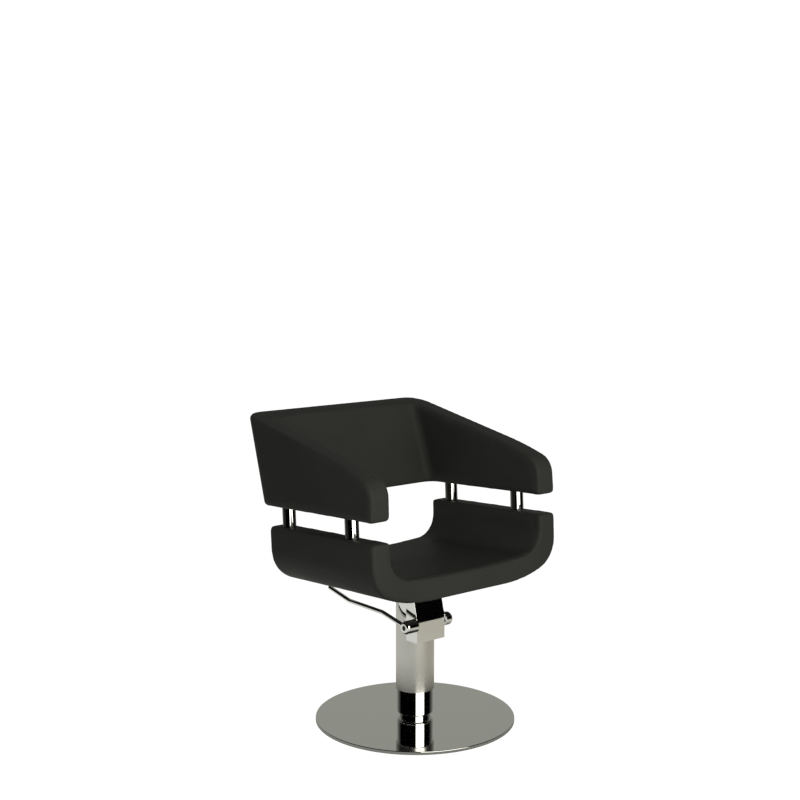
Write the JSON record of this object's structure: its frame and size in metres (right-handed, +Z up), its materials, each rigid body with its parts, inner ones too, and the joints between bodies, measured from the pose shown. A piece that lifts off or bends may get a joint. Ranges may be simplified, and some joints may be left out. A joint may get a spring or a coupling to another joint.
{
  "type": "threading chair",
  "caption": "Hydraulic salon chair for threading and brows: channel seat, wrap-round back and arms on chrome posts, pump column with foot lever and round base plate.",
  "frame": {"origin": "on the floor, on the axis of the column", "axes": "+Z up along the column, -Y the way the sitter faces, +X to the sitter's left"},
  "size_m": [0.6456, 0.6468, 0.8431],
  "materials": {
    "plate_steel": "polished stainless steel",
    "chrome": "bright chrome plate",
    "satin_sleeve": "satin nickel plate",
    "bright_steel": "ground bright steel",
    "zinc_steel": "zinc plate",
    "dark_steel": "black powder coat",
    "cast_iron": "machined casting",
    "bronze": "turned bronze",
    "rubber": "matt rubber",
    "socket_plastic": "moulded plastic",
    "plywood": "moulded plywood, unfinished",
    "foam": "open polyurethane foam",
    "upholstery": "smooth black upholstery vinyl"
  },
  "bodies": {
    "base": {"base_plate": "plate_steel", "floor_ring": "rubber", "stem": "chrome", "stem_screws": "zinc_steel", "ram_gland": "bright_steel", "gland_seal": "rubber"},
    "lift": {"ram": "bright_steel", "piston": "cast_iron", "piston_seal": "rubber", "piston_nut": "zinc_steel", "thrust_washer": "bronze", "ram_keeper": "bright_steel"},
    "seat": {"sleeve": "satin_sleeve", "head_block": "chrome", "pump_body": "cast_iron", "plunger_spring": "bright_steel", "seat_plate": "dark_steel", "plate_screws": "zinc_steel", "seat_bolts": "zinc_steel", "seat_core": "plywood", "seat_foam": "foam", "seat_cover": "upholstery", "post_left_front": "chrome", "post_right_front": "chrome", "post_left_rear": "chrome", "post_right_rear": "chrome", "post_studs": "zinc_steel", "back_core": "plywood", "back_foam": "foam", "back_cover": "upholstery"},
    "lever": {"cross_shaft": "bright_steel", "pump_crank": "cast_iron", "crank_roller": "bright_steel", "roller_pin": "bright_steel", "lever_hub": "chrome", "hub_plug": "socket_plastic", "shaft_knob": "chrome", "lever_rod": "chrome"},
    "plunger": {"pump_plunger": "bright_steel"}
  },
  "joints": [
    {"name": "seat_lift", "type": "slide", "parent": "base", "child": "lift", "axis": [0, 0, 1], "range_m": [0, 0.13]},
    {"name": "seat_swivel", "type": "hinge", "parent": "lift", "child": "seat", "pos_m": [0, 0, 0], "axis": [0, 0, 1], "continuous": true},
    {"name": "lever_press", "type": "hinge", "parent": "seat", "child": "lever", "pos_m": [0, -0.059, 0.285], "axis": [-1, 0, 0], "range_deg": [0, 28], "stiffness_Nm_per_rad": 2, "springref_deg": -28.65},
    {"name": "plunger_stroke", "type": "slide", "parent": "seat", "child": "plunger", "axis": [0, 1, 0], "range_m": [0, 0.0075], "deforming": ["plunger_spring"]}
  ],
  "couplings": [
    {"joint": "plunger_stroke", "follows": "lever_press", "m_per_rad": 0.0147}
  ]
}
